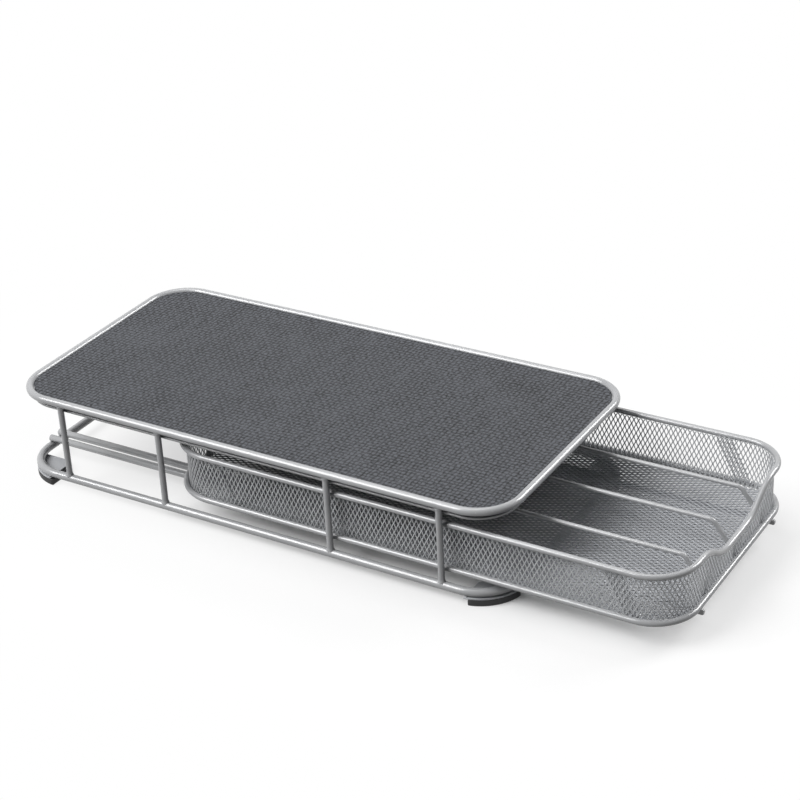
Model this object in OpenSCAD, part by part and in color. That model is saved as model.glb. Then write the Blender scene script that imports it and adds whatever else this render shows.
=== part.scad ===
// Coffee pod drawer: a wire stand with a flat mat on top for a coffee machine,
// and a shallow mesh basket that slides out of it on four rails.
// Millimetres, +Z up, +X the way the basket opens. The resting surface is z = 0.

/* [Stand] */
// Outer length of the stand's top rim
platform_l = 400; // [340:1:460]
// Outer width of the stand's top rim
platform_w = 200; // [180:1:240]
// Corner radius of the top rim and the base loop, on the wire's centre line
corner_r = 30; // [20:0.5:42]
// Wire diameter of the top rim
rim_d = 5.6; // [4:0.1:8]
// Wire diameter of the base loop
loop_d = 6; // [4:0.1:8]

/* [Posts] */
// Wire diameter of the eight posts
post_d = 4.5; // [3:0.1:6]
// From the end of the corner bend to the axis of the end post
post_from_bend = 13.2; // [4:0.2:20]
// From an end post to the post next to it
post_spacing = 85.5; // [60:0.5:95]

/* [Rails] */
// Wire diameter of the four rails
rail_d = 5; // [3:0.1:7]
// Length of each rail beyond the centre line of the base loop
rail_overhang = 1.2; // [0:0.1:4]
// From the basket's side wires to the runners and the middle of the rails, between centre lines
track_in = 33.2; // [24:0.1:48]

/* [Top] */
// Sheet thickness of the tray under the mat
tray_t = 0.8; // [0.6:0.1:1.6]
// Height of the tray with its turned down skirt
skirt_h = 5.4; // [4:0.1:10]
// Gap between the tray and the inner side of the top rim
tray_gap = 0.2; // [0.1:0.05:0.6]
// Wire diameter of the support wire under the skirt
support_d = 2; // [1.6:0.1:3]
// Thickness of the mat
mat_t = 1.6; // [1:0.1:4]
// Height of the top rim above the mat
rim_proud = 1.7; // [0.5:0.1:3]

/* [Feet] */
// Sheet thickness of the corner plates
plate_t = 1.2; // [0.8:0.1:3]
// Reach of a corner plate along the stand, from the corner of the centre lines
plate_x = 25.7; // [20:0.1:32]
// Reach of a corner plate across the stand, from the corner of the centre lines
plate_y = 24; // [20:0.1:32]
// Size of the cut across the inner corner of a plate
plate_cut = 6.6; // [2:0.1:12]
// Thickness of the rubber feet
foot_t = 4.8; // [3:0.1:12]
// Reach of a back foot along the stand, from the corner of the centre lines
foot_back_x = 28; // [20:0.1:34]
// Reach of a front foot along the stand, from the corner of the centre lines
foot_front_x = 23; // [20:0.1:34]
// Reach of a foot across the stand, from the corner of the centre lines
foot_y = 23; // [18:0.1:32]
// Size of the cut across the inner corner of a foot
foot_cut = 8; // [2:0.1:12]

/* [Basket] */
// Wire diameter of the two basket rims
basket_d = 4.2; // [3:0.1:6]
// Height between the centre lines of the two basket rims
basket_h = 33.7; // [26:0.1:60]
// Corner radius at the front of the basket, on the wire's centre line
front_r = 30; // [20:0.5:40]
// Corner radius at the back of the basket, on the wire's centre line
back_r = 37; // [20:0.5:44]
// Free space behind the back wire when the basket is shut, between centre lines
back_gap = 5.6; // [4:0.1:20]
// Gap between the side of the basket and the posts
side_gap = 0.6; // [0.4:0.05:3]
// Gap between the basket and the top of the rails
ride_gap = 0.4; // [0.3:0.05:1]
// Free height between the basket and the support wire
headroom = 6.6; // [1:0.1:30]
// How far the basket is open
basket_open = 120.5; // [0:0.5:180]

/* [Front scoop] */
// Depth of the dip in the front of the top rim
scoop_depth = 15; // [6:0.1:18]
// Half the width of the flat bottom of the dip
scoop_flat = 12; // [4:0.5:24]
// Straight run of the rim between the dip and the bend of each front corner
scoop_gap = 2; // [1:0.5:12]

/* [Mesh] */
// Thickness of the mesh sheets
mesh_t = 0.8; // [0.5:0.1:2]
// Number of openings along the floor
floor_cells_x = 12; // [6:1:12]
// Number of openings across the floor
floor_cells_y = 6; // [4:1:8]
// Width of the bars between the openings of the floor
floor_bar = 6; // [3:0.5:12]
// Width of the floor's solid edge inside the dividers' feet
floor_lip = 1; // [0.5:0.5:4]
// Number of openings along each side wall
wall_cells = 12; // [6:1:16]
// Width of the upright bars between the openings of the side walls
wall_bar = 5; // [3:0.5:12]
// Height of the solid strips along the top and the bottom of the side walls
wall_strip = 3.5; // [2:0.5:8]

/* [Dividers] */
// Wire diameter of the dividers
divider_d = 3.2; // [2:0.1:4.5]
// Distance between neighbouring dividers
divider_pitch = 46; // [38:0.5:50]
// Height of a divider's centre line above the mesh floor
divider_h = 26.8; // [21:0.1:30]
// Drop of the sloped part at each end of a divider
divider_drop = 16.6; // [8:0.1:17]
// Length of the sloped part at each end, along the basket
divider_run = 12.5; // [8:0.1:18]
// Bend radius of the dividers
divider_r = 5; // [4:0.1:7]

/* [Runners] */
// Wire diameter of the runners
runner_d = 4; // [3:0.1:6]
// Gap on each side of a runner between its two rails
track_gap = 0.45; // [0.3:0.05:1]
// Length of each runner beyond the centre line of the basket's end wires
runner_nub = 3; // [2:0.1:8]

/* [Hidden] */

// Facets of a wire's section and of a sweep, both true circles
$fn = 32;
sweep_fn = 96;

// Beads where two lengths of wire meet: gap that a bead fills, and how much thicker it is than the wire
bead_gap = 0.05;
bead_d = 0.05;
// Degrees by which a bend may miss a right angle and still count as one
right_angle_slack = 0.001;

// Half length and half width of the stand, between wire centre lines
half_l = (platform_l - rim_d) / 2;
half_w = (platform_w - rim_d) / 2;

// Heights, from the resting surface up
plate_z = foot_t;
loop_z = plate_z + plate_t + loop_d / 2;
rail_z = loop_z + loop_d / 2 + rail_d / 2;
floor_z = rail_z + rail_d / 2 + ride_gap;
floor_top = floor_z + mesh_t;
low_z = floor_z + basket_d / 2;
high_z = low_z + basket_h;
runner_z = floor_z - runner_d / 2;
support_z = high_z + basket_d / 2 + headroom + support_d / 2;
tray_z = support_z + support_d / 2;
mat_z = tray_z + skirt_h;
rim_z = mat_z + mat_t + rim_proud - rim_d / 2;

// Along the stand
post_end_x = half_l - corner_r - post_from_bend;
post_mid_x = post_end_x - post_spacing;

// Top: distances inwards from the rim's centre line
support_in = (post_d + support_d) / 2;
tray_in = rim_d / 2 + tray_gap;

// Rails: half the distance between the two rails of a pair
rail_half = (rail_d + runner_d) / 2 + track_gap;

// Basket when shut: ends and half width between wire centre lines
front_x = half_l;
back_x = back_gap - half_l;
basket_w = half_w - post_d / 2 - side_gap - basket_d / 2;
track_y = basket_w - track_in;
mesh_in = basket_d / 2;
floor_in = mesh_in + mesh_t + divider_d + floor_lip;
divider_z = floor_top + divider_h;

// Width of each curved side of the scoop, and the radius and turn of the two arcs that make it
scoop_side = basket_w - front_r - scoop_gap - scoop_flat;
scoop_turn = 2 * atan(scoop_depth / scoop_side);
scoop_r = scoop_side / (2 * sin(scoop_turn));

// The origin is under the middle of the whole object as it stands open
back_reach = half_l + max(rim_d / 2, loop_d / 2, rail_overhang);
front_reach = max(back_reach, half_l + basket_open + max(basket_d / 2, runner_nub));
shift_x = (back_reach - front_reach) / 2;

steel = [0.72, 0.73, 0.75];
mesh_steel = [0.66, 0.67, 0.69];
rubber = [0.06, 0.06, 0.06];
mat_grey = [0.27, 0.27, 0.29];
tray_black = [0.1, 0.1, 0.11];

// Places a piece of the stand
module stand(c) color(c) translate([shift_x, 0, 0]) children();

// Places a piece of the basket, which is drawn shut
module basket(c) color(c) translate([shift_x + basket_open, 0, 0]) children();

// ---- wire shapes ----

// Heading in degrees from p to q
function heading(p, q) = atan2(q[1] - p[1], q[0] - p[0]);

// Turn in degrees from heading a to heading b, from -180 to 180
function turn(a, b) = (b - a + 540) % 360 - 180;

// Point at distance s from p on the way to q
function on_way(p, q, s) = p + (q - p) * (s / norm(q - p));

// Turn at corner i of a run of points
function corner_turn(p, i) = let (n = len(p), a = p[(i + n - 1) % n], b = p[i], c = p[(i + 1) % n])
    turn(heading(a, b), heading(b, c));

// Length that the bend at corner i takes from each of its legs
function bend_len(p, r, i) = r[i] == 0 ? 0 : r[i] * tan(abs(corner_turn(p, i)) / 2);

// Round bar along X
module bar_x(x0, x1, y, z, d) translate([x0, y, z]) rotate([0, 90, 0]) cylinder(d = d, h = x1 - x0);

// Straight leg of wire from p to q in the XY plane
module leg(p, q, d) {
    if (norm(q - p) > 0.001)
        translate([p[0], p[1], 0]) rotate([0, 0, heading(p, q)]) bar_x(0, norm(q - p), 0, 0, d);
}

// Bend of wire in the XY plane that starts at p with heading h and turns by a. Away from a right angle
// its ends stop just short of its neighbours, and a bead a little thicker than the wire joins them.
module bend(p, h, a, r, d) {
    s = sign(a);
    trim = abs(abs(a) - 90) < right_angle_slack ? 0 : bead_gap / r * 180 / PI;
    middle = p + s * r * [-sin(h), cos(h)];
    translate([middle[0], middle[1], 0]) rotate([0, 0, s > 0 ? h - 90 : h + 90 + a]) {
        rotate([0, 0, trim]) rotate_extrude(angle = abs(a) - 2 * trim, $fn = sweep_fn)
            translate([r, 0]) circle(d = d);
        if (trim > 0)
            for (t = [0, abs(a)]) rotate([0, 0, t]) translate([r, 0, 0]) sphere(d = d + bead_d);
    }
}

// Wire through corner points p with bend radii r, in the XY plane. A radius of 0 marks an open end.
module wire(p, r, d) {
    n = len(p);
    for (i = [0 : n - 1]) {
        j = (i + 1) % n;
        if (!(r[i] == 0 && r[j] == 0))
            leg(on_way(p[i], p[j], bend_len(p, r, i)), on_way(p[j], p[i], bend_len(p, r, j)), d);
        if (r[i] > 0) {
            k = (i + n - 1) % n;
            bend(on_way(p[i], p[k], bend_len(p, r, i)), heading(p[k], p[i]), corner_turn(p, i), r[i], d);
        }
    }
}

// Closed rectangular ring of wire around the middle
module ring(hl, hw, r, z, d)
    translate([0, 0, z]) wire([[-hl, -hw], [hl, -hw], [hl, hw], [-hl, hw]], [r, r, r, r], d);

// Rounded rectangle from x = xb to xf, with one radius at the back and one at the front
module plan(xb, xf, hw, rb, rf) {
    translate([xb + rb, -hw]) square([xf - rf - xb - rb, 2 * hw]);
    translate([xb, rb - hw]) square([rb, 2 * (hw - rb)]);
    translate([xf - rf, rf - hw]) square([rf, 2 * (hw - rf)]);
    for (s = [-1, 1]) {
        translate([xb + rb, s * (hw - rb)]) circle(r = rb, $fn = sweep_fn);
        translate([xf - rf, s * (hw - rf)]) circle(r = rf, $fn = sweep_fn);
    }
}

// Outline of the stand, inset from the wire's centre line
module stand_plan(inset)
    plan(inset - half_l, half_l - inset, half_w - inset, corner_r - inset, corner_r - inset);

// Outline of the basket, inset from the wire's centre line
module basket_plan(inset)
    plan(back_x + inset, front_x - inset, basket_w - inset, back_r - inset, front_r - inset);

// ---- stand ----

module top_rim() stand(steel) ring(half_l, half_w, corner_r, rim_z, rim_d);

module support_wire()
    stand(steel) ring(half_l - support_in, half_w - support_in, corner_r - support_in, support_z, support_d);

module top_tray() stand(tray_black) translate([0, 0, tray_z]) difference() {
    linear_extrude(skirt_h) stand_plan(tray_in);
    translate([0, 0, -tray_t]) linear_extrude(skirt_h) stand_plan(tray_in + tray_t);
}

module top_mat() stand(mat_grey) translate([0, 0, mat_z]) linear_extrude(mat_t) stand_plan(tray_in);

module base_loop() stand(steel) ring(half_l, half_w, corner_r, loop_z, loop_d);

// Post at x, on side -1 (near) or 1 (far), coped to fit the wires above and below it
module post(x, side) stand(steel) difference() {
    translate([x, side * half_w, loop_z]) cylinder(d = post_d, h = rim_z - loop_z);
    bar_x(x - post_d, x + post_d, side * half_w, loop_z, loop_d);
    bar_x(x - post_d, x + post_d, side * half_w, rim_z, rim_d);
}

module rail(y) stand(steel) bar_x(-half_l - rail_overhang, half_l + rail_overhang, y, rail_z, rail_d);

// Flat pad in the corner on side ex, ey, reaching x and y inwards, with its inner corner cut off
module corner_pad(ex, ey, x, y, cut, z, t) translate([0, 0, z]) linear_extrude(t) intersection() {
    stand_plan(-loop_d / 2);
    mirror([ex > 0 ? 1 : 0, 0]) mirror([0, ey > 0 ? 1 : 0]) translate([-half_l, -half_w])
        polygon([[-loop_d, -loop_d], [x, -loop_d], [x, y - cut], [x - cut, y], [-loop_d, y]]);
}

module corner_plate(ex, ey) stand(steel) corner_pad(ex, ey, plate_x, plate_y, plate_cut, plate_z, plate_t);

module foot(ex, ey)
    stand(rubber) corner_pad(ex, ey, ex < 0 ? foot_back_x : foot_front_x, foot_y, foot_cut, 0, foot_t);

// ---- basket ----

// Top rim: three sides in one plane, then the front with its dip
module basket_top_rim() basket(steel) {
    translate([0, 0, high_z]) wire(
        [[front_x, front_r - basket_w], [front_x, -basket_w], [back_x, -basket_w],
         [back_x, basket_w], [front_x, basket_w], [front_x, basket_w - front_r]],
        [0, front_r, back_r, back_r, front_r, 0], basket_d);
    translate([front_x, 0, high_z]) rotate([90, 0, 90]) {
        for (s = [-1, 1]) mirror([s < 0 ? 1 : 0, 0]) {
            leg([basket_w - front_r, 0], [scoop_flat + scoop_side, 0], basket_d);
            bend([scoop_flat + scoop_side, 0], 180, scoop_turn, scoop_r, basket_d);
            bend([scoop_flat, -scoop_depth], 0, scoop_turn, scoop_r, basket_d);
        }
        leg([-scoop_flat, -scoop_depth], [scoop_flat, -scoop_depth], basket_d);
    }
}

module basket_bottom_rim() basket(steel) translate([0, 0, low_z]) wire(
    [[back_x, -basket_w], [front_x, -basket_w], [front_x, basket_w], [back_x, basket_w]],
    [back_r, front_r, front_r, back_r], basket_d);

// Part of the mesh wall between xa and xb
module mesh_wall(xa, xb) translate([0, 0, floor_top]) linear_extrude(high_z - floor_top) intersection() {
    difference() {
        basket_plan(mesh_in);
        basket_plan(mesh_in + mesh_t);
    }
    translate([xa, -basket_w]) square([xb - xa, 2 * basket_w]);
}

// Straight wall of one side, with one row of openings
module mesh_side(side) basket(mesh_steel) {
    run = front_x - front_r - back_x - back_r;
    height = high_z - floor_top;
    pitch = (run - wall_bar) / wall_cells;
    y = side > 0 ? basket_w - mesh_in - mesh_t : mesh_in - basket_w;
    translate([back_x + back_r, y + mesh_t, floor_top]) rotate([90, 0, 0]) linear_extrude(mesh_t) difference() {
        square([run, height]);
        for (i = [0 : wall_cells - 1]) translate([wall_bar + i * pitch, wall_strip])
            square([pitch - wall_bar, height - 2 * wall_strip]);
    }
}

// Area above the centre line of the front dip, in the YZ plane with z = 0 at the top rim
module scoop_area() {
    translate([-scoop_flat, -scoop_depth]) square([2 * scoop_flat, scoop_depth + basket_d]);
    for (s = [0, 1]) mirror([s, 0]) {
        intersection() {
            translate([scoop_flat, scoop_r - scoop_depth]) circle(r = scoop_r, $fn = sweep_fn);
            translate([scoop_flat, -scoop_depth]) square([scoop_side / 2, scoop_depth / 2]);
        }
        difference() {
            translate([scoop_flat, -scoop_depth / 2]) square([scoop_side, scoop_depth / 2 + basket_d]);
            translate([scoop_flat + scoop_side, -scoop_r]) circle(r = scoop_r, $fn = sweep_fn);
            translate([scoop_flat + scoop_side / 2, 0]) square([scoop_side, 2 * basket_d]);
        }
    }
}

module mesh_front() basket(mesh_steel) difference() {
    mesh_wall(front_x - front_r, front_x);
    translate([front_x - basket_d, 0, high_z]) rotate([90, 0, 90]) linear_extrude(2 * basket_d) scoop_area();
}

module mesh_back() basket(mesh_steel) mesh_wall(back_x, back_x + back_r);

// Openings of the floor: a plain grid that fills the plan inside the solid edge
module floor_openings() {
    pitch_x = (front_x - back_x - 2 * floor_in + floor_bar) / floor_cells_x;
    pitch_y = (2 * (basket_w - floor_in) + floor_bar) / floor_cells_y;
    intersection() {
        basket_plan(floor_in);
        for (i = [0 : floor_cells_x - 1]) for (j = [0 : floor_cells_y - 1])
            translate([back_x + floor_in + i * pitch_x, floor_in - basket_w + j * pitch_y])
                square([pitch_x - floor_bar, pitch_y - floor_bar]);
    }
}

module mesh_floor() basket(mesh_steel) translate([0, 0, floor_z]) linear_extrude(mesh_t) difference() {
    basket_plan(mesh_in);
    floor_openings();
}

// Divider wire at y: a level run that slopes down at both ends and stands on the floor
module divider(y) basket(steel) {
    xf = front_x - mesh_in - mesh_t - divider_d / 2;
    xb = back_x + mesh_in + mesh_t + divider_d / 2;
    translate([0, y, 0]) rotate([90, 0, 0]) wire(
        [[xb, floor_top], [xb, divider_z - divider_drop], [xb + divider_run, divider_z],
         [xf - divider_run, divider_z], [xf, divider_z - divider_drop], [xf, floor_top]],
        [0, divider_r, divider_r, divider_r, divider_r, 0], divider_d);
}

module runner(side) basket(steel)
    bar_x(back_x - runner_nub, front_x + runner_nub, side * track_y, runner_z, runner_d);

top_rim();
support_wire();
top_tray();
top_mat();
base_loop();
post(-post_end_x, -1);  // post_near_1
post(-post_mid_x, -1);  // post_near_2
post(post_mid_x, -1);  // post_near_3
post(post_end_x, -1);  // post_near_4
post(-post_end_x, 1);  // post_far_1
post(-post_mid_x, 1);  // post_far_2
post(post_mid_x, 1);  // post_far_3
post(post_end_x, 1);  // post_far_4
rail(-track_y - rail_half);  // rail_near_outer
rail(rail_half - track_y);  // rail_near_inner
rail(track_y - rail_half);  // rail_far_inner
rail(track_y + rail_half);  // rail_far_outer
corner_plate(-1, -1);  // plate_back_near
corner_plate(-1, 1);  // plate_back_far
corner_plate(1, -1);  // plate_front_near
corner_plate(1, 1);  // plate_front_far
foot(-1, -1);  // foot_back_near
foot(-1, 1);  // foot_back_far
foot(1, -1);  // foot_front_near
foot(1, 1);  // foot_front_far
basket_top_rim();
basket_bottom_rim();
mesh_side(-1);  // mesh_near
mesh_side(1);  // mesh_far
mesh_front();
mesh_back();
mesh_floor();
divider(-divider_pitch);  // divider_near
divider(0);  // divider_mid
divider(divider_pitch);  // divider_far
runner(-1);  // runner_near
runner(1);  // runner_far
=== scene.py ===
"""Coffee pod drawer: a wire stand with a mat on top, and a mesh basket that slides out under it.

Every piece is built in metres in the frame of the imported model, with its object at the origin. Sizes in the
classes are in millimetres, as on a maker's drawing, and `MM` turns them into metres.
"""
import logging
import math
from dataclasses import dataclass
from enum import Enum
from typing import Iterable, Optional, Sequence, Union

import bmesh
import bpy
from mathutils import Matrix, Vector


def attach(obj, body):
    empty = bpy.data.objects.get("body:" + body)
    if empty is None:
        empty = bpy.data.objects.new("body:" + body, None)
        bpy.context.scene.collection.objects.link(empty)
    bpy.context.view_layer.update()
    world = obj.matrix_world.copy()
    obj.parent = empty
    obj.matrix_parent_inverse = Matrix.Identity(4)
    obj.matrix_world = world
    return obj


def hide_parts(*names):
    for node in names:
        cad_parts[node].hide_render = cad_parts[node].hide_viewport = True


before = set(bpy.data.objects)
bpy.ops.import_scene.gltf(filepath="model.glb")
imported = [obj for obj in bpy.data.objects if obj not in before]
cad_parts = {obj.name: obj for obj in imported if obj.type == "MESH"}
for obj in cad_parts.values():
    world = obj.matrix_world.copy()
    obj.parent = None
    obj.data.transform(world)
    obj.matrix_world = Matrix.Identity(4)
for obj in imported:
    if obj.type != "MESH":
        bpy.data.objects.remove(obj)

LOG = logging.getLogger("pod_drawer")
MM = 0.001
SAME_PLACE = 1e-6
WHITE = (1.0, 1.0, 1.0, 1.0)
SOCKET_TYPES = {float: "NodeSocketFloat", int: "NodeSocketInt", tuple: "NodeSocketVector"}

Number = Union[float, int]
Colour = tuple[float, float, float]
Value = Union["Field", float, int, tuple, str]


class Body(Enum):
    """The two rigid bodies of the drawer."""

    STAND = "stand"
    BASKET = "basket"


class Slot(Enum):
    """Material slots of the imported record."""

    WIRE = "wire"
    MESH = "mesh"
    SHEET = "sheet_steel"
    # The tray's slot: its near-black colour is painted shade under the top.
    BLACK = "black_sheet"
    MAT = "mat"
    FOOT = "foot_rubber"


class Group(Enum):
    """Kinds of node group: the tree's type, its inputs beside its sizes, and the type of its outputs."""

    GEOMETRY = ("GeometryNodeTree", ("Geometry", "Material"), "NodeSocketGeometry")
    SHADER = ("ShaderNodeTree", ("Vector",), "NodeSocketFloat")


# ---------------------------------------------------------------- node trees


class Field:
    """A value in a node tree. Plain arithmetic on it adds Math nodes."""

    def __init__(self, tree: "Tree", socket: bpy.types.NodeSocket) -> None:
        """Ties a socket to its tree."""
        self.tree = tree
        self.socket = socket

    def __add__(self, other: Value) -> "Field":
        """Returns the sum."""
        return self.tree.math("ADD", self, other)

    def __sub__(self, other: Value) -> "Field":
        """Returns this value less the other."""
        return self.tree.math("SUBTRACT", self, other)

    def __rsub__(self, other: Value) -> "Field":
        """Returns the other value less this one."""
        return self.tree.math("SUBTRACT", other, self)

    def __mul__(self, other: Value) -> "Field":
        """Returns the product."""
        return self.tree.math("MULTIPLY", self, other)

    def __truediv__(self, other: Value) -> "Field":
        """Returns this value divided by the other."""
        return self.tree.math("DIVIDE", self, other)


class Tree:
    """Short way to write a shader or geometry node tree."""

    def __init__(self, data: bpy.types.NodeTree) -> None:
        """Wraps a node tree."""
        self.data = data
        self.inputs: dict[str, Field] = {}

    @classmethod
    def group(cls, kind: Group, name: str, sizes: dict[str, Value], outputs: Sequence[str]) -> "Tree":
        """Starts a node group.

        Args:
            kind: Its kind.
            name: Its name.
            sizes: Name and default value of each input, whose type is that of its default.
            outputs: Names of its outputs.

        Returns:
            The tree.
        """
        tree_type, shared, output_type = kind.value
        tree = cls(bpy.data.node_groups.new(name, tree_type))
        new_socket = tree.data.interface.new_socket
        for label in shared:
            new_socket(label, in_out="INPUT", socket_type=f"NodeSocket{label}")
        for label, size in sizes.items():
            new_socket(label, in_out="INPUT", socket_type=SOCKET_TYPES[type(size)]).default_value = size
        for label in outputs:
            new_socket(label, in_out="OUTPUT", socket_type=output_type)
        tree.inputs = tree.outs("NodeGroupInput")
        return tree

    @classmethod
    def of(cls, holder: Union[bpy.types.Material, bpy.types.World]) -> "Tree":
        """Empties the node tree of a material or a world and wraps it.

        Args:
            holder: The material or world.

        Returns:
            The tree.
        """
        holder.use_nodes = True
        holder.node_tree.nodes.clear()
        return cls(holder.node_tree)

    def add(self, kind: str, feeds: Optional[dict[Union[str, int], Value]] = None,
            **settings: object) -> bpy.types.Node:
        """Adds a node.

        Args:
            kind: Its type.
            feeds: Input name or number to a field or a plain value.
            **settings: Properties of the node, which are set before its inputs are fed.

        Returns:
            The node.
        """
        node = self.data.nodes.new(kind)
        for key, value in settings.items():
            setattr(node, key, value)
        for key, value in (feeds or {}).items():
            if isinstance(value, Field):
                self.data.links.new(value.socket, node.inputs[key])
            else:
                node.inputs[key].default_value = value
        return node

    def out(self, kind: str, feeds: Optional[dict] = None, pick: Union[str, int] = 0,
            **settings: object) -> Field:
        """Adds a node and returns one of its outputs, by name or number."""
        return Field(self, self.add(kind, feeds, **settings).outputs[pick])

    def outs(self, kind: str, feeds: Optional[dict] = None, **settings: object) -> dict[str, Field]:
        """Adds a node and returns its outputs by name."""
        return {socket.name: Field(self, socket) for socket in self.add(kind, feeds, **settings).outputs}

    def use(self, group: "Tree", feeds: dict) -> dict[str, Field]:
        """Places a shared shader group and returns its outputs by name."""
        return self.outs("ShaderNodeGroup", feeds, node_tree=group.data)

    def math(self, operation: str, *values: Value) -> Field:
        """Adds a Math node on up to three values and returns its result."""
        return self.out("ShaderNodeMath", dict(enumerate(values)), operation=operation)

    def vector(self, operation: str, *values: Value) -> Field:
        """Adds a Vector Math node and returns its vector result."""
        return self.out("ShaderNodeVectorMath", dict(enumerate(values)), operation=operation)

    def scaled(self, vector: Value, factor: Value) -> Field:
        """Returns a vector times a number."""
        return self.out("ShaderNodeVectorMath", {0: vector, "Scale": factor}, operation="SCALE")

    def ramp(self, value: Value, low: float, high: float, start: float = 0.0, end: float = 1.0) -> Field:
        """Maps the range from low to high onto the range from start to end."""
        feeds = {"Value": value, "From Min": low, "From Max": high, "To Min": start, "To Max": end}
        return self.out("ShaderNodeMapRange", feeds)

    def blend(self, factor: Value, first: Value, second: Value) -> Field:
        """Mixes two colours and returns the result."""
        feeds = {"Factor": factor, "A": first, "B": second}
        return self.out("ShaderNodeMix", feeds, "Result", data_type="RGBA")

    def noise(self, place: Value, scale: Value, detail: float, roughness: float = 0.5,
              pick: Union[str, int] = 0) -> Field:
        """Adds a noise texture and returns one of its outputs."""
        feeds = {"Vector": place, "Scale": scale, "Detail": detail, "Roughness": roughness}
        return self.out("ShaderNodeTexNoise", feeds, pick)

    def attribute(self, name: str) -> Field:
        """Returns a point attribute that holds a number."""
        return self.out("GeometryNodeInputNamedAttribute", {"Name": name}, data_type="FLOAT")

    def close(self, shape: Field) -> "Tree":
        """Ends a geometry tree: shade smooth, realize instances, set material.

        Args:
            shape: The finished geometry.

        Returns:
            The tree.
        """
        smooth = self.out("GeometryNodeSetShadeSmooth", {0: shape})
        real = self.out("GeometryNodeRealizeInstances", {0: smooth})
        skin = self.out("GeometryNodeSetMaterial", {0: real, "Material": self.inputs["Material"]})
        self.add("NodeGroupOutput", {0: skin})
        return self

    def close_wire(self, curve: Field, scale: Value) -> "Tree":
        """Ends a geometry tree that has the inputs Radius and Sides by sweeping its curves.

        Args:
            curve: The centre lines.
            scale: Scale of the section along the line.

        Returns:
            The tree.
        """
        circle = {"Resolution": self.inputs["Sides"], "Radius": self.inputs["Radius"]}
        section = self.out("GeometryNodeCurvePrimitiveCircle", circle)
        feeds = {"Curve": curve, "Profile Curve": section, "Scale": scale, "Fill Caps": True}
        return self.close(self.out("GeometryNodeCurveToMesh", feeds))


def sweep_tree() -> Tree:
    """Builds the tree that turns centre lines into round wire.

    Returns:
        A geometry tree with a radius, a number of sides and a material. The point attribute "swell" scales
        the wire's section along its length.
    """
    tree = Tree.group(Group.GEOMETRY, "round_wire", {"Radius": 0.002, "Sides": 16}, ["Geometry"])
    curve = tree.out("GeometryNodeMeshToCurve", {"Mesh": tree.inputs["Geometry"]})
    return tree.close_wire(curve, tree.attribute("swell"))


def expanded_mesh_tree() -> Tree:
    """Builds the tree that lays expanded metal along a guide line.

    The guide's points carry the attributes "low" and "high", the ends of the strands there, measured along
    Up. Strands zigzag along Up and touch their neighbours at short bonds, which leaves pointed diamonds
    between. A slant cuts the start off at its lower and the end at its upper corner, and a negative one at
    the other.

    Returns:
        A geometry tree with the cell's sizes, the strand's radius and the slants of the two ends as inputs.
        Bond Gap is half the distance of two strands' centre lines at a bond, in strand radii, and First Row
        is how far below From the first bond lies, in rows.
    """
    sizes = {"Cell Width": 0.0035, "Cell Height": 0.0068, "Bond": 0.0009, "Bond Gap": 0.7, "Radius": 0.0004,
             "Sides": 5, "Up": (0.0, 0.0, 1.0), "First Row": 0.4, "From": 0.0, "Reach": 0.035,
             "Start Slant": 0.0, "End Slant": 0.0}
    tree = Tree.group(Group.GEOMETRY, "expanded_metal", sizes, ["Geometry"])
    source = tree.inputs
    guide = tree.out("GeometryNodeMeshToCurve", {0: source["Geometry"]})
    length = tree.out("GeometryNodeCurveLength", {0: guide})
    half_w = source["Cell Width"] * 0.5
    half_h = source["Cell Height"] * 0.5
    columns = tree.math("FLOOR", length / half_w)
    rows = (tree.math("CEIL", source["Reach"] / half_h) + 2) * 2
    strand = tree.out("GeometryNodeMeshLine", {"Count": rows})
    line = tree.out("GeometryNodeMeshLine", {"Count": columns})
    spread = tree.out("GeometryNodeInstanceOnPoints", {"Points": line, "Instance": strand})
    strands = tree.out("GeometryNodeRealizeInstances", {0: spread})

    # Each strand has two points a row, the lower and the upper end of a bond.
    index = tree.out("GeometryNodeInputIndex")
    column = tree.math("FLOOR", (index + 0.5) / rows)
    row = index - column * rows
    step = tree.math("FLOOR", (row + 0.5) / 2)
    upper = row - step * 2
    side = 1 - tree.math("FLOORED_MODULO", step + column, 2) * 2
    swing = half_w * 0.5 - source["Radius"] * source["Bond Gap"]
    along = (column + 0.5) * half_w + side * swing
    level = (step - source["First Row"]) * half_h + (upper - 0.5) * source["Bond"]
    height = source["From"] + level

    def sample(name: str) -> dict[str, Field]:
        """Reads the guide at a strand's place.

        Args:
            name: The attribute that it reads.

        Returns:
            Its value and the position, by name.
        """
        feeds = {"Curves": guide, "Value": tree.attribute(name), "Length": along}
        return tree.outs("GeometryNodeSampleCurve", feeds, mode="LENGTH", use_all_curves=True)

    low, high = sample("low"), sample("high")
    clamped = tree.math("MINIMUM", tree.math("MAXIMUM", height, low["Value"]), high["Value"])
    place = tree.vector("ADD", low["Position"], tree.scaled(source["Up"], clamped))
    put = tree.out("GeometryNodeSetPosition", {"Geometry": strands, "Position": place})

    # A point goes where the whole slope next to it is past an end of the strand, or it is past a slant.
    span = half_h - source["Bond"]
    too_high = tree.math("GREATER_THAN", height - (1 - upper) * span, high["Value"])
    too_low = tree.math("LESS_THAN", height + upper * span, low["Value"])
    rise = (height - source["From"]) / source["Reach"]
    start, end = source["Start Slant"], source["End Slant"]
    first = start * (1 - rise) - tree.math("MINIMUM", start, 0)
    last = length - end * rise + tree.math("MINIMUM", end, 0)
    before = tree.math("LESS_THAN", along, first)
    after = tree.math("GREATER_THAN", along, last)
    cut = tree.math("MAXIMUM", tree.math("MAXIMUM", too_high, too_low), tree.math("MAXIMUM", before, after))
    feeds = {"Geometry": put, "Selection": cut}
    kept = tree.out("GeometryNodeDeleteGeometry", feeds, domain="POINT", mode="ALL")
    return tree.close_wire(tree.out("GeometryNodeMeshToCurve", {0: kept}), 1.0)


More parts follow.
